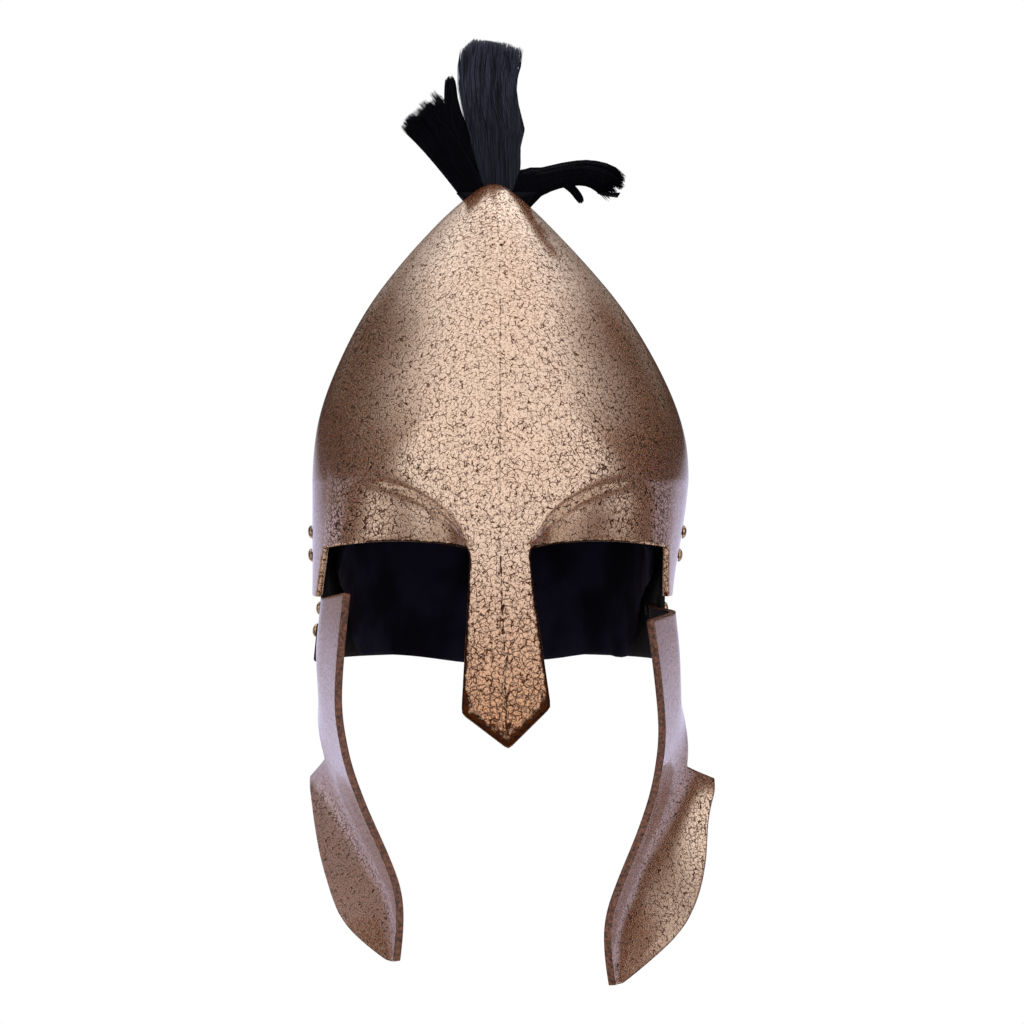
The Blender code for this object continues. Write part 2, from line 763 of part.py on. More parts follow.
def make_rivet_cutters(cutters):
    reach = 0.006
    for name, point, normal, grip in rivet_places():
        bm = bmesh.new()
        radius = RIVET_SHANK + SEAT_GAP
        bmesh.ops.create_cone(
            bm, cap_ends=True, segments=10, radius1=radius, radius2=radius, depth=grip + reach
        )
        mesh = bpy.data.meshes.new(f"{name}_hole")
        bm.to_mesh(mesh)
        bm.free()
        cutter = link_object(f"{name}_hole", mesh, cutters, point - normal * grip / 2)
        cutter.rotation_euler = normal.to_track_quat("Z", "Y").to_euler()
        helper(cutter)


# Plume


def loft(name, rings, collection):
    """A closed solid through rings of points, each with the same count, capped at both ends."""
    bm = bmesh.new()
    made = [[bm.verts.new(point) for point in ring] for ring in rings]
    count = len(made[0])
    for low, high in zip(made, made[1:]):
        for k in range(count):
            after = (k + 1) % count
            bm.faces.new((low[k], low[after], high[after], high[k]))
    bm.faces.new(made[0])
    bm.faces.new(made[-1])
    bmesh.ops.recalc_face_normals(bm, faces=bm.faces)
    mesh = bpy.data.meshes.new(name)
    bm.to_mesh(mesh)
    bm.free()
    return link_object(name, mesh, collection)


def root_ring(level, lift):
    """A D-shaped ring under the back shell at a level of it, flat towards the front shell."""
    depth = 2 * LEATHER + LAP_GAP + 2 * SEAT_GAP
    turns = [mix(112, 180, k / ROOT_COLUMNS) for k in range(ROOT_COLUMNS + 1)]
    half = [inner_point(turn, level, depth) for turn in turns]
    flat = SEAT_GAP + LEATHER / 2
    half = [Vector((p.x, max(p.y, flat + 0.0016), p.z + lift)) for p in half]
    half[-1].x = 0
    corner = Vector((half[0].x - 0.003, flat, half[0].z))
    right = [corner, *half[:-1]]
    left = [Vector((-p.x, p.y, p.z)) for p in reversed(right)]
    return [swayed(p) for p in (*right, half[-1], *left)]


def make_plume_root(collection):
    levels = (-PLUME_ROOT_DEPTH, -0.006, 0.0)
    rings = [root_ring(PLUME_HOLE_Z + level, 0) for level in levels]
    rings.append(root_ring(PLUME_HOLE_Z, PLUME_ROOT_RISE))
    return loft("plume", rings, collection)


def lock_ring(table, share):
    """An oval ring across a lock, square to its spine."""
    numbered = [(k / (len(table) - 1), *row) for k, row in enumerate(table)]
    columns = ("share", *LOCK_COLUMNS)

    def spine(at):
        row = row_at(numbered, columns, at)
        z = PLUME_HOLE_Z + row["rise"] * PLUME_HEIGHT
        return row, Vector((row["across"] * PLUME_SPREAD, row["back"] * PLUME_HEIGHT, z))

    row, centre = spine(share)
    ahead, behind = spine(min(1, share + 0.03))[1], spine(max(0, share - 0.03))[1]
    along = (ahead - behind).normalized()
    wide = along.cross(Vector((0, 1, 0))).normalized()
    deep = wide.cross(along)
    ring = []
    for k in range(LOCK_SIDES):
        angle = 2 * math.pi * k / LOCK_SIDES
        ring.append(
            centre
            + wide * row["half_width"] * PLUME_SPREAD * math.cos(angle)
            + deep * row["half_depth"] * PLUME_SPREAD * math.sin(angle)
        )
    return ring


def make_plume(collection, helpers):
    plume = make_plume_root(collection)
    for name, table in LOCKS.items():
        rings = [lock_ring(table, k / LOCK_ROWS) for k in range(LOCK_ROWS + 1)]
        lock = loft(f"plume_{name}_lock", rings, helpers)
        helper(lock)
        union = plume.modifiers.new(name, "BOOLEAN")
        union.operation = "UNION"
        union.object = lock
    black_hair(plume)
    return plume


def new_collection(name):
    collection = bpy.data.collections.new(name)
    bpy.context.scene.collection.children.link(collection)
    return collection


def main():
    for obj in list(bpy.data.objects):
        bpy.data.objects.remove(obj, do_unlink=True)
    helmet = new_collection("helmet")
    rivet_holes = new_collection("rivet_holes")
    lock_shapes = new_collection("lock_shapes")
    make_rivet_cutters(rivet_holes)
    make_front_shell(helmet, rivet_holes)
    make_back_shell(helmet, rivet_holes)
    for side in SIDES:
        make_cheek_plate(side, helmet, rivet_holes)
    make_lining(helmet)
    make_rivets(helmet)
    make_plume(helmet, lock_shapes)


main()
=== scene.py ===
import math
import random

import bpy
import bmesh
import numpy as np
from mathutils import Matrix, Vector, noise
from mathutils.kdtree import KDTree


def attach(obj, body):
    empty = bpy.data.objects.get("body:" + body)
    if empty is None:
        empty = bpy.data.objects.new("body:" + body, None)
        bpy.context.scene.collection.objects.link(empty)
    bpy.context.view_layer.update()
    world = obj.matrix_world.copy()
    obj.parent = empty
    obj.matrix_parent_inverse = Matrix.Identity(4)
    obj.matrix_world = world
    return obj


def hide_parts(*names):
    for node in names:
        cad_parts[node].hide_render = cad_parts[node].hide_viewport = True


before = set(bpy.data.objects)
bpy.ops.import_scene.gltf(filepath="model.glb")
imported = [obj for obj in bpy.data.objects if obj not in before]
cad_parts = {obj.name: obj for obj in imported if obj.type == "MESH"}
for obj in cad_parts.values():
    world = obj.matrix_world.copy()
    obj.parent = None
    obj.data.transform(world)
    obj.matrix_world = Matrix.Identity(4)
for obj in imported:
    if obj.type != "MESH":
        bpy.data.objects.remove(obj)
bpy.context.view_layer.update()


# Front shell. One hide, 3.6 mm thick, wetted and pressed over a form: the pointed dome, the brow,
# the nasal and the panels beside the eyes. Its outside is painted gold, and the paint has
# crackled. Its cut edges are burnished dark.

JOIN_WITHIN = 0.00002
FLAT_QUAD, SQUARE_QUAD = math.radians(25), math.radians(50)


def joined_copy(node, name):
    """A copy of a node's mesh, with its loose triangles merged and paired into quads."""
    bpy.ops.object.select_all(action="DESELECT")
    piece = bpy.data.objects.new(name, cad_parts[node].data.copy())
    bpy.context.scene.collection.objects.link(piece)
    piece.data.materials.clear()
    bpy.context.view_layer.objects.active = piece
    piece.select_set(True)
    bpy.ops.object.mode_set(mode="EDIT")
    bpy.ops.mesh.select_all(action="SELECT")
    bpy.ops.mesh.remove_doubles(threshold=JOIN_WITHIN)
    bpy.ops.mesh.tris_convert_to_quads(face_threshold=FLAT_QUAD, shape_threshold=SQUARE_QUAD)
    bpy.ops.object.mode_set(mode="OBJECT")
    return piece


OUTSIDE, INSIDE, CUT = 0, 1, 2
SHARP_TURN = math.radians(52)
SOFT_CREASE, FOLD_CREASE = 0.42, 0.05


def find_cut_edges(hide, outwards, soft=SOFT_CREASE, fold=SOFT_CREASE):
    """Marks the outer, inner and cut faces, creases the lines between them, and returns the rims.

    The rims are the lines where the outside meets the rest. A fold is a sharp line within the
    outside."""
    bm = bmesh.new()
    bm.from_mesh(hide.data)
    crease = bm.edges.layers.float.new("crease_edge")
    sharp = set()
    for edge in bm.edges:
        if len(edge.link_faces) == 2 and edge.calc_face_angle(0) > SHARP_TURN:
            sharp.add(edge)
    patches, seen = [], set()
    for face in bm.faces:
        if face in seen:
            continue
        patch, todo = [], [face]
        seen.add(face)
        while todo:
            here = todo.pop()
            patch.append(here)
            for edge in here.edges:
                if edge in sharp:
                    continue
                for other in edge.link_faces:
                    if other not in seen:
                        seen.add(other)
                        todo.append(other)
        patches.append(patch)
    patches.sort(key=lambda p: -sum(f.calc_area() for f in p))
    facing = [
        sum(f.normal.dot(outwards(f.calc_center_median())) * f.calc_area() for f in patch)
        for patch in patches[:2]
    ]
    outer, inner = (0, 1) if facing[0] > facing[1] else (1, 0)
    for k, patch in enumerate(patches):
        for face in patch:
            face.material_index = OUTSIDE if k == outer else INSIDE if k == inner else CUT
    rims = []
    for edge in sharp:
        kinds = {f.material_index for f in edge.link_faces}
        edge[crease] = fold if kinds == {OUTSIDE} else soft
        if OUTSIDE in kinds and len(kinds) > 1:
            rims.append((edge.verts[0].co.copy(), edge.verts[1].co.copy()))
    bm.to_mesh(hide.data)
    bm.free()
    return rims


def soften(piece, levels):
    """Rounds a piece with Subdivision Surface, applied, and shades it smooth."""
    modifier = piece.modifiers.new("round", "SUBSURF")
    modifier.levels = modifier.render_levels = levels
    modifier.boundary_smooth = "PRESERVE_CORNERS"
    bpy.context.view_layer.objects.active = piece
    bpy.ops.object.modifier_apply(modifier="round")
    piece.data.polygons.foreach_set("use_smooth", [True] * len(piece.data.polygons))


RIM_STEP = 0.0008


def burnish(hide, rims, width):
    """Writes the attribute burnish: 1 on a rim, and 0 from width(point) away from it."""
    steps = []
    for first, last in rims:
        count = max(2, int((last - first).length / RIM_STEP))
        steps += [first.lerp(last, k / count) for k in range(count + 1)]
    tree = KDTree(len(steps))
    for k, point in enumerate(steps):
        tree.insert(point, k)
    tree.balance()
    layer = hide.data.attributes.new("burnish", "FLOAT", "POINT")
    near = []
    for vertex in hide.data.vertices:
        away = tree.find(vertex.co)[2]
        near.append(max(0.0, 1 - away / width(vertex.co)))
    layer.data.foreach_set("value", near)


def new_material(name):
    """A new material, its node tree and its shader."""
    material = bpy.data.materials.new(name)
    material.use_nodes = True
    return material, material.node_tree, material.node_tree.nodes["Principled BSDF"]


def math_node(tree, operation, first=None, second=None, third=None):
    node = tree.nodes.new("ShaderNodeMath")
    node.operation = operation
    for k, value in enumerate((first, second, third)):
        if value is None:
            continue
        if isinstance(value, (int, float)):
            node.inputs[k].default_value = value
        else:
            tree.links.new(value, node.inputs[k])
    return node.outputs[0]


def ramp_node(tree, value, low, high, ends=(0.0, 1.0)):
    """A smooth step of value from low to high."""
    node = tree.nodes.new("ShaderNodeMapRange")
    node.interpolation_type = "SMOOTHSTEP"
    for k, number in enumerate((low, high, *ends), 1):
        node.inputs[k].default_value = number
    tree.links.new(value, node.inputs[0])
    return node.outputs[0]


def noise_node(tree, vector, scale, detail=3.0, roughness=0.55):
    node = tree.nodes.new("ShaderNodeTexNoise")
    node.inputs["Scale"].default_value = scale
    node.inputs["Detail"].default_value = detail
    node.inputs["Roughness"].default_value = roughness
    tree.links.new(vector, node.inputs["Vector"])
    return node


def mix_colour(tree, factor, first, second):
    node = tree.nodes.new("ShaderNodeMix")
    node.data_type = "RGBA"
    for socket, value in ((0, factor), (6, first), (7, second)):
        if isinstance(value, (int, float)):
            node.inputs[socket].default_value = value
        elif isinstance(value, tuple):
            node.inputs[socket].default_value = (*value, 1.0)
        else:
            tree.links.new(value, node.inputs[socket])
    return node.outputs[2]


def object_vector(tree):
    return tree.nodes.new("ShaderNodeTexCoord").outputs["Object"]


def laid_on(tree, name):
    """The value of an attribute that is written on the hide."""
    node = tree.nodes.new("ShaderNodeAttribute")
    node.attribute_name = name
    return node.outputs["Fac"]


def relief(tree, shader, height, strength, depth):
    """Gives a surface fine relief from a height value."""
    bump = tree.nodes.new("ShaderNodeBump")
    bump.inputs["Strength"].default_value = strength
    bump.inputs["Distance"].default_value = depth
    tree.links.new(height, bump.inputs["Height"])
    tree.links.new(bump.outputs["Normal"], shader.inputs["Normal"])


CRACK_WANDER, WANDER_SCALE = 0.0026, 420.0
# Each net of cracks: how much finer its cells are, and how dark its lines are.
CRACK_NETS = ((1.0, 1.0), (1.8, 0.85))


def crackle_group():
    """Crackled paint: broken, wandering dark lines round cells a few millimetres across."""
    group = bpy.data.node_groups.new("crackled_paint", "ShaderNodeTree")
    group.interface.new_socket("Vector", in_out="INPUT", socket_type="NodeSocketVector")
    for socket in ("Cells", "Line", "Broken"):
        group.interface.new_socket(socket, in_out="INPUT", socket_type="NodeSocketFloat")
    for socket in ("Cracks", "Height"):
        group.interface.new_socket(socket, in_out="OUTPUT", socket_type="NodeSocketFloat")
    given, out = group.nodes.new("NodeGroupInput"), group.nodes.new("NodeGroupOutput")
    vector = given.outputs["Vector"]
    shift = group.nodes.new("ShaderNodeVectorMath")
    shift.operation = "MULTIPLY_ADD"
    warp = noise_node(group, vector, WANDER_SCALE, 2.0)
    group.links.new(warp.outputs["Color"], shift.inputs[0])
    shift.inputs[1].default_value = (CRACK_WANDER, CRACK_WANDER, CRACK_WANDER)
    group.links.new(vector, shift.inputs[2])
    lines = None
    for finer, weight in CRACK_NETS:
        cells = group.nodes.new("ShaderNodeTexVoronoi")
        cells.feature = "DISTANCE_TO_EDGE"
        group.links.new(shift.outputs[0], cells.inputs["Vector"])
        scale = math_node(group, "MULTIPLY", given.outputs["Cells"], finer)
        group.links.new(scale, cells.inputs["Scale"])
        across = math_node(group, "DIVIDE", cells.outputs["Distance"], given.outputs["Line"])
        line = ramp_node(group, across, 1.0, 0.25)
        gaps = noise_node(group, vector, WANDER_SCALE * finer, 2.0).outputs["Fac"]
        kept = math_node(group, "SUBTRACT", gaps, given.outputs["Broken"])
        kept = ramp_node(group, kept, -0.04, 0.04)
        line = math_node(group, "MULTIPLY", math_node(group, "MULTIPLY", line, kept), weight)
        lines = line if lines is None else math_node(group, "MAXIMUM", lines, line)
    group.links.new(lines, out.inputs["Cracks"])
    grain = noise_node(group, vector, 1400.0, 3.0).outputs["Fac"]
    height = math_node(group, "MULTIPLY_ADD", grain, 0.50, 0.50)
    height = math_node(group, "SUBTRACT", height, lines)
    group.links.new(height, out.inputs["Height"])
    return group


crackled_paint = crackle_group()

# The scales of the noises in the paint: specks, ragged edges and large clouds.
SPECKS, RAGGED, CLOUDS = 1300.0, 380.0, 22.0
CRACK_WIDTH, CRACK_GAPE, MORE_CRACKS, FLANK_SHEEN_SHARE = 0.078, 0.065, 0.09, 0.68
CLOUDED, SPECK_BROWN, NASAL_SHADE_BROWN = 0.80, (0.170, 0.058, 0.020), (0.275, 0.138, 0.072)
MARK, MARK_EDGE = (0.0004, -0.0447, 0.0512), (0.0016, 0.0007)


def gold_paint(name, gold, umber, edge, cells, broken):
    """Gold pearl paint over brown leather, crackled, lacquered, with a dark burnished edge."""
    material, tree, shader = new_material(name)
    vector = object_vector(tree)
    crackle = tree.nodes.new("ShaderNodeGroup")
    crackle.node_tree = crackled_paint
    crackle.inputs["Cells"].default_value = cells
    tree.links.new(vector, crackle.inputs["Vector"])
    opened = laid_on(tree, "opened_cracks")
    gaps = math_node(tree, "MULTIPLY_ADD", opened, -MORE_CRACKS, broken)
    tree.links.new(gaps, crackle.inputs["Broken"])
    width = math_node(tree, "MULTIPLY_ADD", opened, CRACK_GAPE, CRACK_WIDTH)
    tree.links.new(width, crackle.inputs["Line"])
    # The cracks thin out on flanks that face sideways: painted sheen.
    cracks_thinned_by_sheen = math_node(tree, "MULTIPLY_ADD", laid_on(tree, "flank_painted_sheen"), -FLANK_SHEEN_SHARE, 1.0)
    cracks = math_node(tree, "MULTIPLY", crackle.outputs["Cracks"], cracks_thinned_by_sheen)

    grain = noise_node(tree, vector, SPECKS, 2.0).outputs["Fac"]
    fleck = ramp_node(tree, grain, 0.46, 0.70, (0.0, 0.38))
    # Low on the nasal the paint turns browner and less bright towards the foot: painted shade.
    nasal_shade = math_node(tree, "MULTIPLY", laid_on(tree, "nasal_shade_and_gape"), 0.9)
    ragged = noise_node(tree, vector, RAGGED).outputs["Fac"]
    ragged = math_node(tree, "MULTIPLY_ADD", ragged, 0.8, -0.40)
    near = math_node(tree, "ADD", laid_on(tree, "burnish"), ragged)
    worn = ramp_node(tree, near, 0.40, 0.66)
    apart = tree.nodes.new("ShaderNodeVectorMath")
    apart.operation = "DISTANCE"
    tree.links.new(vector, apart.inputs[0])
    apart.inputs[1].default_value = MARK
    mark = ramp_node(tree, apart.outputs["Value"], *MARK_EDGE)
    worn = math_node(tree, "MAXIMUM", worn, mark)

    cloud = noise_node(tree, vector, CLOUDS, 4.0).outputs["Fac"]
    darker = tuple(c * CLOUDED for c in gold)
    colour = mix_colour(tree, ramp_node(tree, cloud, 0.35, 0.68), darker, gold)
    for amount, over in ((fleck, SPECK_BROWN), (nasal_shade, NASAL_SHADE_BROWN), (worn, edge), (cracks, umber)):
        colour = mix_colour(tree, amount, colour, over)
    tree.links.new(colour, shader.inputs["Base Color"])
    bare = math_node(tree, "MAXIMUM", cracks, worn)
    bare = math_node(tree, "MAXIMUM", bare, math_node(tree, "MAXIMUM", nasal_shade, fleck))
    tree.links.new(bare, shader.inputs["Metallic"])
    rough = math_node(tree, "MULTIPLY_ADD", cracks, 0.3, 0.15)
    tree.links.new(rough, shader.inputs["Roughness"])
    shader.inputs["IOR"].default_value = 3.2
    shader.inputs["Specular Tint"].default_value = (1.0, 0.82, 0.65, 1.0)
    dry = math_node(tree, "MAXIMUM", bare, math_node(tree, "MULTIPLY", fleck, 1.6))
    lacquer = math_node(tree, "MULTIPLY_ADD", dry, -1.0, 1.0)
    tree.links.new(lacquer, shader.inputs["Coat Weight"])
    shader.inputs["Coat IOR"].default_value = 1.45
    shader.inputs["Coat Roughness"].default_value = 0.10
    relief(tree, shader, crackle.outputs["Height"], strength=0.4, depth=0.0003)
    return material


def raw_leather(name, dark, light, scale, roughness, gloss):
    """Bare leather: the flesh side, or a cut edge."""
    material, tree, shader = new_material(name)
    fibre = noise_node(tree, object_vector(tree), scale, 5.0, 0.65).outputs["Fac"]
    colour = mix_colour(tree, ramp_node(tree, fibre, 0.32, 0.70), dark, light)
    tree.links.new(colour, shader.inputs["Base Color"])
    shader.inputs["Roughness"].default_value = roughness
    shader.inputs["Specular IOR Level"].default_value = gloss
    relief(tree, shader, fibre, strength=0.5, depth=0.0004)
    return material


gold_hide = gold_paint(
    "gold_crackle_leather",
    gold=(0.088, 0.022, 0.006),
    umber=(0.030, 0.008, 0.002),
    edge=(0.010, 0.004, 0.003),
    cells=300.0,
    broken=0.48,
)
cut_edge = raw_leather(
    "burnished_cut_edge",
    dark=(0.010, 0.004, 0.003),
    light=(0.095, 0.038, 0.024),
    scale=620.0,
    roughness=0.45,
    gloss=0.15,
)
# Near-black on every inward face: the hides' insides, the back shell's cut edges and the rivets'
# posts and washers. This is painted shade inside the helmet.
shaded_inside = raw_leather(
    "inside_painted_shade",
    dark=(0.004, 0.004, 0.005),
    light=(0.008, 0.007, 0.009),
    scale=300.0,
    roughness=0.85,
    gloss=0.05,
)


def away_from_axis(point):
    """Outwards from the helmet's upright middle line, and upwards near the top."""
    return Vector((point.x, point.y, 0.25 * point.z + 0.03))


# Heights, and the widths of the burnished band: at the nasal's point, on its sides, along the
# eyes and brow, and where there is hardly any.
NASAL_POINT_Z, NASAL_SIDES_Z, BROW_TOP_Z = -0.181, -0.125, 0.06
POINT_BAND, NASAL_BAND, EYE_BAND, FAINT_BAND = 0.0105, 0.0046, 0.0026, 0.0006
PANEL_FROM_X, PANEL_BELOW_Z = 0.07, -0.03


def on_side_panel(point):
    return abs(point.x) > PANEL_FROM_X and point.z < PANEL_BELOW_Z


def front_band(point):
    """The band is wide at the nasal's point and narrow at its sides; the side panels have none."""
    if point.z < NASAL_POINT_Z:
        return POINT_BAND
    if point.z > BROW_TOP_Z or on_side_panel(point):
        return FAINT_BAND
    return NASAL_BAND if point.z < NASAL_SIDES_Z else EYE_BAND


CREST_STEP = 0.003


def crest_line(hide):
    """Where the fold down the middle of the front runs: the most forward vertex at each height."""
    found = {}
    for vertex in hide.data.vertices:
        step = round(vertex.co.z / CREST_STEP)
        if vertex.co.y < 0 and (step not in found or vertex.co.y < found[step].y):
            found[step] = vertex.co.copy()
    return [found[step] for step in sorted(found)]


RUB_TOP_Z, RUB_NASAL_Z = 0.084, -0.11
RUB_WIDTH, NASAL_RUB, DOME_RUB = 0.0020, 0.64, 0.56


def rub_crest(hide, crest):
    """The paint is rubbed along the fold, so burnish rises there too."""
    heights = [point.z for point in crest]
    across = [point.x for point in crest]
    layer = hide.data.attributes["burnish"].data
    for vertex in hide.data.vertices:
        if vertex.co.y > 0 or vertex.co.z > RUB_TOP_Z:
            continue
        away = abs(vertex.co.x - np.interp(vertex.co.z, heights, across))
        value = (NASAL_RUB if vertex.co.z < RUB_NASAL_Z else DOME_RUB) * (1 - away / RUB_WIDTH)
        if value > layer[vertex.index].value:
            layer[vertex.index].value = value


def between(value, low, high):
    return min(1.0, max(0.0, (value - low) / (high - low)))


# Where each effect starts and where it is full: down from the brow, or across from the middle.
NASAL_SHADE_DOWN = (0.110, 0.195)
TEMPLE_ACROSS, TEMPLE_DOWN, TEMPLE_GAPE = (0.050, 0.070), (0.030, 0.075), 0.6
SIDE_ACROSS, SIDE_GAPE = (0.040, 0.068), 0.55
FLANK_FACING = (0.82, 0.95)


def nasal_shade_and_gape(point):
    """How far down the nasal a point lies; towards the foot the paint is drawn browner and less
    bright, as painted shade.
    """
    return between(-point.z, *NASAL_SHADE_DOWN) ** 0.75


def opened_cracks(point):
    """The cracks gape on the nasal, at the temples and, less, on the sides of the dome."""
    temple = between(abs(point.x), *TEMPLE_ACROSS) * between(-point.z, *TEMPLE_DOWN) * TEMPLE_GAPE
    sides = between(abs(point.x), *SIDE_ACROSS) * SIDE_GAPE
    return max(nasal_shade_and_gape(point), temple, sides)


def lay_paint(hide, name, amount):
    """Writes an attribute from amount(point) at each point of the hide."""
    layer = hide.data.attributes.new(name, "FLOAT", "POINT")
    layer.data.foreach_set("value", [amount(vertex.co) for vertex in hide.data.vertices])


def lay_flank_painted_sheen(hide):
    """Fewer cracks on flanks that face sideways: painted sheen, standing in for the grazing
    reflection that hides the cracks there.
    """
    layer = hide.data.attributes.new("flank_painted_sheen", "FLOAT", "POINT")
    flank = [between(abs(vertex.normal.x), *FLANK_FACING) for vertex in hide.data.vertices]
    layer.data.foreach_set("value", flank)


front = joined_copy("front_shell", "front_hide")
front_rims = find_cut_edges(front, away_from_axis, fold=FOLD_CREASE)
soften(front, 2)
burnish(front, front_rims, front_band)
rub_crest(front, crest_line(front))
lay_paint(front, "nasal_shade_and_gape", nasal_shade_and_gape)
lay_paint(front, "opened_cracks", opened_cracks)
lay_flank_painted_sheen(front)
# The cut edges of the side panels are painted over.
for polygon in front.data.polygons:
    if polygon.material_index == CUT and on_side_panel(polygon.center):
        polygon.material_index = OUTSIDE
for material in (gold_hide, shaded_inside, cut_edge):
    front.data.materials.append(material)
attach(front, "root")
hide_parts("front_shell")


# Back shell. The same hide and paint, pressed over the back of the form. It laps in under the
# front shell at the ears, where two rivets a side hold the halves together.

BACK_BAND = 0.0030

back = joined_copy("back_shell", "back_hide")
back_rims = find_cut_edges(back, away_from_axis)
soften(back, 2)
burnish(back, back_rims, lambda point: BACK_BAND)
lay_flank_painted_sheen(back)
# The back shell's cut edges take the near-black inside too: painted shade.
for material in (gold_hide, shaded_inside, shaded_inside):
    back.data.materials.append(material)
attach(back, "root")
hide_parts("back_shell")


# Cheek plates. Two plates of 4 mm leather, painted as the shells are. Each is pressed so that its
# rear flares out, and hangs by two rivets under the back shell.

PLATE_BAND, PLATE_CREASE = 0.0011, 0.7

for side, sign in (("left", 1), ("right", -1)):
    plate = joined_copy(f"cheek_plate_{side}", f"cheek_hide_{side}")
    plate_rims = find_cut_edges(plate, lambda point: Vector((sign, 0, 0)), soft=PLATE_CREASE)
    soften(plate, 3)
    burnish(plate, plate_rims, lambda point: PLATE_BAND)
    lay_flank_painted_sheen(plate)
    for material in (gold_hide, shaded_inside, cut_edge):
        plate.data.materials.append(material)
    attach(plate, "root")
    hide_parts(f"cheek_plate_{side}")


# Lining. A cap of black cotton, sewn from ten gores and filled with wadding, that hangs inside
# the shells. Its lower edge is turned up and stitched, and it puckers along that edge.

GORES, SEAM_SHARE, HEM_HEIGHT = 10, 0.10, 0.006
WADDING_PRESSURE, WADDING_FRAMES = 4.0, 20
MOST_SWELL, MOST_OUTWARDS = 0.0026, 0.0003


def wad(cap):
    """Fills the cap with wadding: Cloth under pressure, held along the gore seams and the hem."""
    flat = [vertex.co.copy() for vertex in cap.data.vertices]
    hem = min(point.z for point in flat) + HEM_HEIGHT
    tacked = cap.vertex_groups.new(name="tacked")
    seams = []
    for k, at in enumerate(flat):
        from_seam = abs(math.sin(math.atan2(at.y, at.x) * GORES / 2))
        if at.z < hem or from_seam < SEAM_SHARE:
            seams.append(k)
    tacked.add(seams, 1.0, "REPLACE")
    swell = cap.modifiers.new("wadding", "CLOTH")
    swell.settings.use_pressure = True
    swell.settings.uniform_pressure_force = WADDING_PRESSURE
    swell.settings.effector_weights.gravity = 0
    swell.settings.vertex_group_mass = "tacked"
    swell.point_cache.frame_end = WADDING_FRAMES
    for frame_number in range(1, WADDING_FRAMES + 1):
        bpy.context.scene.frame_set(frame_number)
    swollen = cap.evaluated_get(bpy.context.evaluated_depsgraph_get()).data
    moved = [swollen.vertices[k].co - at for k, at in enumerate(flat)]
    cap.modifiers.remove(swell)
    bpy.context.scene.frame_set(1)
    for vertex, at, move in zip(cap.data.vertices, flat, moved):
        outwards = Vector((at.x, at.y, 0)).normalized()
        move -= outwards * max(0.0, move.dot(outwards) - MOST_OUTWARDS)
        if move.length > MOST_SWELL:
            move *= MOST_SWELL / move.length
        vertex.co = at + move


lining = joined_copy("lining", "lining_cap")
soften(lining, 1)
wad(lining)
soften(lining, 1)

FOLD_DEPTH, FOLDS_SCALE, LINING_CLEARANCE = 0.0010, 28, 0.0004
PUCKER_DEPTH, PUCKERS, PUCKER_DOWN = 0.0009, 26, (0.06, 0.17)
HEM_WAVE, HEM_WAVES = 0.0022, 2.2

for vertex in lining.data.vertices:
    at = vertex.co
    turn = math.atan2(at.y, at.x)
    low = between(-at.z, *PUCKER_DOWN)
    puff = noise.noise(at * FOLDS_SCALE) * FOLD_DEPTH
    pucker = math.sin(turn * PUCKERS + 4 * noise.noise(at * 14)) * PUCKER_DEPTH * low
    inwards = Vector((at.x, at.y, 0)).normalized()
    vertex.co -= inwards * (abs(puff) + pucker + LINING_CLEARANCE)
    vertex.co.z += noise.noise(Vector((turn * HEM_WAVES, 0.3, 0.7))) * HEM_WAVE * low**3

THREAD, FADED_THREAD = (0.0036, 0.0034, 0.0086), (0.0074, 0.0070, 0.0165)
PAINTED_FOLD_SHADE = (0.0016, 0.0013, 0.0038)

cloth, tree, shader = new_material("black_cotton")
vector = object_vector(tree)
weave = noise_node(tree, vector, 1500.0, 2.0).outputs["Fac"]
# Darker patches at random, painted as the shade and sheen of folds in the cloth.
fold_shade_patches = noise_node(tree, vector, 26.0, 2.0).outputs["Fac"]
worn_black = mix_colour(tree, weave, THREAD, FADED_THREAD)
cotton = mix_colour(tree, ramp_node(tree, fold_shade_patches, 0.38, 0.62), PAINTED_FOLD_SHADE, worn_black)
tree.links.new(cotton, shader.inputs["Base Color"])
shader.inputs["Roughness"].default_value = 0.88
shader.inputs["Specular IOR Level"].default_value = 0.03
relief(tree, shader, weave, strength=0.35, depth=0.0003)
lining.data.materials.append(cloth)
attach(lining, "root")
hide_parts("lining")


# Rivets. Eight domed brass caps, gone dull, pressed on posts with a washer inside: two hold the
# shells together and two hold the cheek plate on each side.

DARK_BRASS, BRIGHT_BRASS = (0.10, 0.060, 0.034), (0.42, 0.28, 0.16)
CAP_CREASE, CAP_FACING = 0.55, 0.1

brass, tree, shader = new_material("dull_brass")
tarnish = noise_node(tree, object_vector(tree), 520.0, 4.0).outputs["Fac"]
tarnish = ramp_node(tree, tarnish, 0.40, 0.62)
tree.links.new(mix_colour(tree, tarnish, DARK_BRASS, BRIGHT_BRASS), shader.inputs["Base Color"])
shader.inputs["Metallic"].default_value = 0.9
shader.inputs["Roughness"].default_value = 0.36
for side in ("left", "right"):
    for number in range(1, 5):
        rivet = joined_copy(f"rivet_{side}_{number}", f"rivet_cap_{side}_{number}")
        find_cut_edges(rivet, away_from_axis, soft=CAP_CREASE)
        soften(rivet, 2)
        # Faces turned inwards, the brass posts and washers, take the near-black inside: painted
        # shade.
        for face in rivet.data.polygons:
            away = away_from_axis(face.center).normalized()
            face.material_index = OUTSIDE if face.normal.dot(away) > CAP_FACING else INSIDE
        for material in (brass, shaded_inside):
            rivet.data.materials.append(material)
        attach(rivet, "root")
        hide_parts(f"rivet_{side}_{number}")


# Plume. Black horsehair, bound at the root and pulled up through the hole in the back shell's
# peak. One lock stands, cut blunt, one leans and frays, one curls over and droops, and two thin
# ones part from them. The hairs are too many to model by hand, so a loop lays each one.

HAIR_RADIUS = 0.00017
HAIR_SIDES = 3
PEAK_Z = 0.0900
LOCK_BACK = 0.0140
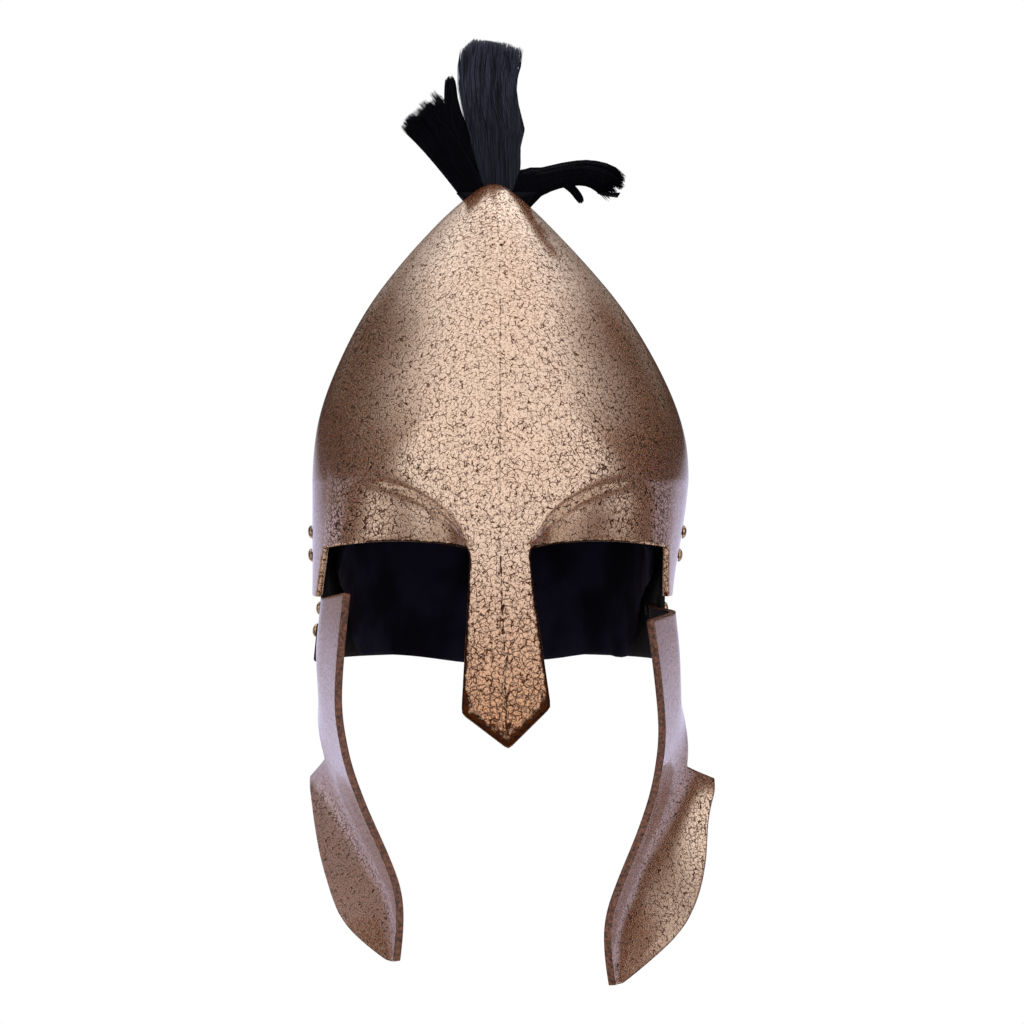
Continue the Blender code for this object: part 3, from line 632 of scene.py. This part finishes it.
# Each row: how far across and above the peak the lock's middle lies, and half its width and depth.
HAIR_LOCKS = {
    "tall": (
        (-0.0030, -0.0200, 0.0085, 0.0042),
        (-0.0010, 0.0000, 0.0120, 0.0060),
        (-0.0030, 0.0170, 0.0132, 0.0068),
        (-0.0026, 0.0275, 0.0154, 0.0074),
        (-0.0062, 0.0420, 0.0150, 0.0076),
        (-0.0076, 0.0550, 0.0158, 0.0076),
        (-0.0064, 0.0660, 0.0166, 0.0072),
        (-0.0048, 0.0775, 0.0160, 0.0062),
    ),
    "leaning": (
        (-0.0050, -0.0200, 0.0060, 0.0040),
        (-0.0125, -0.0060, 0.0088, 0.0048),
        (-0.0222, 0.0090, 0.0102, 0.0054),
        (-0.0325, 0.0240, 0.0118, 0.0054),
        (-0.0412, 0.0360, 0.0138, 0.0048),
        (-0.0464, 0.0420, 0.0144, 0.0040),
    ),
    "upright": (
        (-0.0080, -0.0200, 0.0040, 0.0030),
        (-0.0150, 0.0040, 0.0052, 0.0036),
        (-0.0222, 0.0250, 0.0050, 0.0038),
        (-0.0268, 0.0420, 0.0040, 0.0036),
        (-0.0276, 0.0520, 0.0034, 0.0030),
        (-0.0277, 0.0580, 0.0026, 0.0020),
    ),
    "drooping": (
        (0.0030, -0.0200, 0.0060, 0.0040),
        (0.0125, -0.0036, 0.0098, 0.0046),
        (0.0240, 0.0012, 0.0070, 0.0044),
        (0.0370, 0.0044, 0.0066, 0.0042),
        (0.0480, 0.0048, 0.0072, 0.0040),
        (0.0580, 0.0010, 0.0086, 0.0038),
        (0.0650, -0.0055, 0.0086, 0.0034),
    ),
    "strayed": (
        (0.0240, 0.0010, 0.0030, 0.0026),
        (0.0320, 0.0010, 0.0026, 0.0024),
        (0.0385, -0.0035, 0.0022, 0.0020),
        (0.0425, -0.0085, 0.0020, 0.0016),
        (0.0440, -0.0115, 0.0012, 0.0010),
    ),
}
# How many hairs a lock has, how ragged its end is, how much its tips gather, how far they wander,
# and in how many steps each hair is laid.
HAIR_HABITS = {
    "tall": (2500, 0.06, 0.22, 0.08, 9),
    "leaning": (1900, 0.30, 0.62, 0.10, 9),
    "upright": (420, 0.16, 0.40, 0.08, 8),
    "drooping": (1700, 0.20, 0.55, 0.12, 13),
    "strayed": (170, 0.20, 0.35, 0.16, 10),
}
LOOK_ALONG, GATHER_FROM = 0.02, 0.45


def along_rows(rows, share):
    """The columns at a share of the way along a lock, on a smooth curve through its rows."""
    place = min(max(share, 0.0), 1.0) * (len(rows) - 1)
    k = min(int(place), len(rows) - 2)
    t = place - k
    found = []
    for c in range(len(rows[0])):
        a, b = rows[max(k - 1, 0)][c], rows[k][c]
        d, e = rows[k + 1][c], rows[min(k + 2, len(rows) - 1)][c]
        leave, arrive = (d - a) / 2, (e - b) / 2
        found.append(
            (2 * t**3 - 3 * t**2 + 1) * b
            + (t**3 - 2 * t**2 + t) * leave
            + (3 * t**2 - 2 * t**3) * d
            + (t**3 - t**2) * arrive
        )
    return found


def hair_path(rows, offset, gather_to, habit, end, wander):
    """The middle points of one hair, from its root to its cut end."""
    _, _, gather, stray, steps = habit
    path = []
    for k in range(steps + 1):
        share = end * k / steps
        across, rise, half_width, half_depth = along_rows(rows, share)
        ahead = along_rows(rows, share + LOOK_ALONG)
        behind = along_rows(rows, share - LOOK_ALONG)
        along = Vector((ahead[0] - behind[0], 0, ahead[1] - behind[1])).normalized()
        wide = Vector((along.z, 0, -along.x))
        pull = gather * max(0.0, (share - GATHER_FROM) / (1 - GATHER_FROM)) ** 1.6
        drift = stray * share**1.5
        u = offset[0] + (gather_to[0] - offset[0]) * pull
        v = offset[1] + (gather_to[1] - offset[1]) * pull
        u += drift * math.sin(wander[0] + wander[2] * share)
        v += drift * math.sin(wander[1] + wander[3] * share)
        centre = Vector((across, LOCK_BACK, PEAK_Z + rise))
        path.append(centre + wide * (u * half_width) + Vector((0, v * half_depth, 0)))
    return path


def add_tube(path, radius, points, faces):
    """A thin closed tube along a path, that narrows to its end."""
    first = len(points)
    last = len(path) - 1
    for k, centre in enumerate(path):
        along = (path[min(k + 1, last)] - path[max(k - 1, 0)]).normalized()
        side = along.cross(Vector((0.3, 1, 0.1))).normalized()
        front = side.cross(along)
        size = radius * (1.0 if k < last - 1 else 0.8 if k < last else 0.4)
        for s in range(HAIR_SIDES):
            angle = math.tau * s / HAIR_SIDES
            spoke = side * (size * math.cos(angle))
            points.append(centre + spoke + front * (size * math.sin(angle)))
    for k in range(last):
        for s in range(HAIR_SIDES):
            a = first + k * HAIR_SIDES + s
            b = first + k * HAIR_SIDES + (s + 1) % HAIR_SIDES
            faces.append((a, b, b + HAIR_SIDES, a + HAIR_SIDES))
    faces.append(tuple(first + s for s in reversed(range(HAIR_SIDES))))
    faces.append(tuple(first + last * HAIR_SIDES + s for s in range(HAIR_SIDES)))


TUFTS = 26
# How a lock's end is shaped: rounded at its sides, ragged by tufts and by single hairs, and, on
# the tall lock, cut lower from a point on its left.
ROUND_END, BY_TUFT, BY_HAIR = 0.04, 0.6, 0.4
LOW_CUT, LOW_CUT_FROM = 0.16, 0.45


def lock_of_hair(name, seed):
    """All the hairs of one lock as one mesh."""
    rows, habit = HAIR_LOCKS[name], HAIR_HABITS[name]
    hairs, raggedness = habit[:2]
    chance = random.Random(seed)
    tufts = []
    for _ in range(TUFTS):
        turn, out = chance.uniform(0, math.tau), chance.uniform(0, 1) ** 0.5
        tufts.append((out * math.cos(turn), out * math.sin(turn), chance.uniform(-1, 0)))
    points, faces = [], []
    for _ in range(hairs):
        turn, out = chance.uniform(0, math.tau), chance.uniform(0, 1) ** 0.42
        offset = (out * math.cos(turn), out * math.sin(turn))
        tuft = min(tufts, key=lambda t: (t[0] - offset[0]) ** 2 + (t[1] - offset[1]) ** 2)
        ragged = BY_TUFT * tuft[2] + BY_HAIR * chance.uniform(-1, 0.1)
        end = 1.0 - ROUND_END * abs(offset[0]) ** 3 + raggedness * ragged
        if name == "tall":
            end -= LOW_CUT * max(0.0, -offset[0] - LOW_CUT_FROM) ** 1.5
        wander = [chance.uniform(0, math.tau) for _ in range(2)]
        wander += [chance.uniform(2, 6) for _ in range(2)]
        path = hair_path(rows, offset, tuft, habit, end, wander)
        add_tube(path, HAIR_RADIUS * chance.uniform(0.75, 1.25), points, faces)
    mesh = bpy.data.meshes.new(f"plume_{name}_hair")
    mesh.from_pydata([tuple(p) for p in points], [], faces)
    mesh.polygons.foreach_set("use_smooth", [True] * len(mesh.polygons))
    obj = bpy.data.objects.new(f"plume_{name}_hair", mesh)
    bpy.context.scene.collection.objects.link(obj)
    return obj


# The streaks and the rise in tone with height are painted sheen on the upper hair and painted
# shade at the root.
SHEEN_STREAKS, SHEEN_STREAK_SCALE = (1.0, 0.25, 0.06), 900.0
PLUME_HEIGHT, ROOT_SHADE_TIP_SHEEN = 0.085, (0.25, 1.5)


def horsehair(name, dark, light, gloss):
    """Black hair with pale blue-grey streaks of painted sheen, more of them towards the tips:
    painted light, with painted shade at the root.
    """
    material, tree, shader = new_material(name)
    spread = tree.nodes.new("ShaderNodeMapping")
    spread.inputs["Scale"].default_value = SHEEN_STREAKS
    tree.links.new(object_vector(tree), spread.inputs["Vector"])
    painted_sheen = noise_node(tree, spread.outputs["Vector"], SHEEN_STREAK_SCALE, 2.0).outputs["Fac"]
    height = tree.nodes.new("ShaderNodeSeparateXYZ")
    tree.links.new(object_vector(tree), height.inputs[0])
    high = ramp_node(tree, height.outputs["Z"], PEAK_Z, PEAK_Z + PLUME_HEIGHT, ROOT_SHADE_TIP_SHEEN)
    painted_sheen = math_node(tree, "MULTIPLY", ramp_node(tree, painted_sheen, 0.35, 0.68), high)
    tree.links.new(mix_colour(tree, painted_sheen, dark, light), shader.inputs["Base Color"])
    shader.inputs["Roughness"].default_value = 0.42
    shader.inputs["Specular IOR Level"].default_value = gloss
    shader.inputs["Specular Tint"].default_value = (0.80, 0.84, 1.0, 1.0)
    return material


# Lit and shaded copies of one black horsehair: the shaded copy is darker and less glossy, painted
# shade.
lit_hair = horsehair(
    "black_horsehair_lit",
    dark=(0.0025, 0.0028, 0.0055),
    light=(0.0240, 0.0260, 0.0460),
    gloss=0.16,
)
shaded_hair = horsehair(
    "black_horsehair_shaded",
    dark=(0.0006, 0.0006, 0.0014),
    light=(0.0024, 0.0024, 0.0046),
    gloss=0.03,
)

# The bound root ends below the peak, where the loose hairs take over.
ROOT_BELOW_PEAK = 0.006

root = joined_copy("plume", "plume_root")
bpy.ops.object.mode_set(mode="EDIT")
bpy.ops.mesh.select_all(action="SELECT")
bpy.ops.mesh.bisect(
    plane_co=(0, 0, PEAK_Z - ROOT_BELOW_PEAK), plane_no=(0, 0, 1), use_fill=True, clear_outer=True
)
bpy.ops.object.mode_set(mode="OBJECT")
root.data.polygons.foreach_set("use_smooth", [True] * len(root.data.polygons))
root.data.materials.append(shaded_hair)
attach(root, "root")
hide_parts("plume")
# The tall lock takes the lit hair; the root and the other locks take the shaded copy.
for seed, name in enumerate(HAIR_LOCKS, 11):
    lock = lock_of_hair(name, seed)
    lock.data.materials.append(lit_hair if name == "tall" else shaded_hair)
    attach(lock, "root")


# Stage. A plain pale floor well below the helmet, soft light from the front, above and behind, a
# weak lamp low behind the left plate in the picture, and the camera at the photo's view.

FLOOR_Z = -0.62

bpy.ops.object.select_all(action="DESELECT")
bpy.ops.mesh.primitive_plane_add(size=2, location=(0, 0, FLOOR_Z))
floor = bpy.context.active_object
floor.name = "floor"
pale, tree, shader = new_material("pale_floor")
shader.inputs["Base Color"].default_value = (0.66, 0.60, 0.54, 1)
shader.inputs["Roughness"].default_value = 0.9
shader.inputs["Emission Color"].default_value = (1, 1, 1, 1)
seen = tree.nodes.new("ShaderNodeLightPath").outputs["Is Camera Ray"]
tree.links.new(math_node(tree, "MULTIPLY", seen, 0.92), shader.inputs["Emission Strength"])
floor.data.materials.append(pale)

KEY_GLOW, LIP_GLOW, BACK_GLOW, SIDE_GLOW = 2.6, 0.45, 0.90, 0.03
HORIZON, LEAN_BELOW, LEAN_ABOVE, LEAN_ASIDE = 0.10, 0.2, 0.3, 0.12
WARM_WHITE, COOL_WHITE = (1.0, 0.98, 0.95), (0.88, 0.86, 1.16)

world = bpy.data.worlds.new("studio")
bpy.context.scene.world = world
world.use_nodes = True
tree = world.node_tree
background = tree.nodes["Background"]
split = tree.nodes.new("ShaderNodeSeparateXYZ")
tree.links.new(tree.nodes.new("ShaderNodeTexCoord").outputs["Generated"], split.inputs[0])
across, depth, up = (split.outputs[axis] for axis in "XYZ")
# ahead is -1 towards the camera and 1 away from it, at any height.
level = math_node(tree, "SUBTRACT", 1.0, math_node(tree, "MULTIPLY", up, up))
level = math_node(tree, "SQRT", math_node(tree, "MAXIMUM", level, 0.0001))
ahead = math_node(tree, "DIVIDE", depth, level)
# The key light lies in front, and its border leans with height and to the right.
rise = math_node(tree, "SUBTRACT", up, HORIZON)
lower = math_node(tree, "MULTIPLY", math_node(tree, "MINIMUM", rise, 0.0), LEAN_BELOW)
upper = math_node(tree, "MULTIPLY", math_node(tree, "MAXIMUM", rise, 0.0), LEAN_ABOVE)
turned = math_node(tree, "SUBTRACT", math_node(tree, "SUBTRACT", ahead, lower), upper)
wider = math_node(tree, "MULTIPLY", math_node(tree, "MAXIMUM", across, 0.0), LEAN_ASIDE)
wider = math_node(tree, "MULTIPLY", wider, ramp_node(tree, up, -0.05, 0.12))
turned = math_node(tree, "SUBTRACT", turned, wider)
facing = ramp_node(tree, turned, -0.13, -0.47)
facing = math_node(tree, "MULTIPLY", facing, ramp_node(tree, up, -0.46, -0.16))
above = ramp_node(tree, up, 0.45, 0.80)
key = math_node(tree, "MULTIPLY", math_node(tree, "MAXIMUM", facing, above), KEY_GLOW)
# Two strips high behind light the brow's lip and the shelf under it.
lip = ramp_node(tree, up, 0.20, 0.40, (0.0, LIP_GLOW))
lip = math_node(tree, "MULTIPLY", lip, ramp_node(tree, ahead, 0.74, 0.86))
shelf = ramp_node(tree, up, 0.44, 0.56, (0.0, LIP_GLOW))
shelf = math_node(tree, "MULTIPLY", shelf, ramp_node(tree, ahead, 0.50, 0.70))
key = math_node(tree, "ADD", key, math_node(tree, "ADD", lip, shelf))
# A cooler glow low behind colours the plates and the flanks.
behind = ramp_node(tree, ahead, 0.10, 0.35)
behind = math_node(tree, "MULTIPLY", behind, ramp_node(tree, up, 0.11, -0.02))
behind = math_node(tree, "MULTIPLY", behind, BACK_GLOW)
glow = math_node(tree, "MAXIMUM", math_node(tree, "MAXIMUM", key, behind), SIDE_GLOW)
tint = mix_colour(tree, ramp_node(tree, behind, 0.2, 0.6), WARM_WHITE, COOL_WHITE)
# The camera sees plain white.
seen = tree.nodes.new("ShaderNodeLightPath").outputs["Is Camera Ray"]
tree.links.new(mix_colour(tree, seen, tint, (1.0, 1.0, 1.0)), background.inputs["Color"])
strength = tree.nodes.new("ShaderNodeMix")
tree.links.new(seen, strength.inputs[0])
tree.links.new(glow, strength.inputs[2])
strength.inputs[3].default_value = 1.0
tree.links.new(strength.outputs[0], background.inputs["Strength"])
bpy.context.scene.view_settings.view_transform = "Standard"

LAMP_AT, LAMP_TOWARDS = Vector((-0.56, 0.20, -0.13)), Vector((-0.095, 0.0, -0.25))

lamp = bpy.data.objects.new("low_lamp", bpy.data.lights.new("low_lamp", "AREA"))
lamp.data.shape = "RECTANGLE"
lamp.data.size = 0.34
lamp.data.size_y = 0.30
lamp.data.energy = 0.15
lamp.data.color = (0.90, 0.84, 1.0)
lamp.location = LAMP_AT
lamp.rotation_euler = (LAMP_TOWARDS - LAMP_AT).to_track_quat("-Z", "Y").to_euler()
lamp.visible_camera = False
bpy.context.scene.collection.objects.link(lamp)

camera = bpy.data.objects.new("camera", bpy.data.cameras.new("camera"))
camera.data.sensor_width = 36
camera.data.lens = 117.2
camera.location = (0.006, -1.8, -0.0895)
camera.rotation_euler = (math.pi / 2, 0, 0)
bpy.context.scene.collection.objects.link(camera)
bpy.context.scene.camera = camera
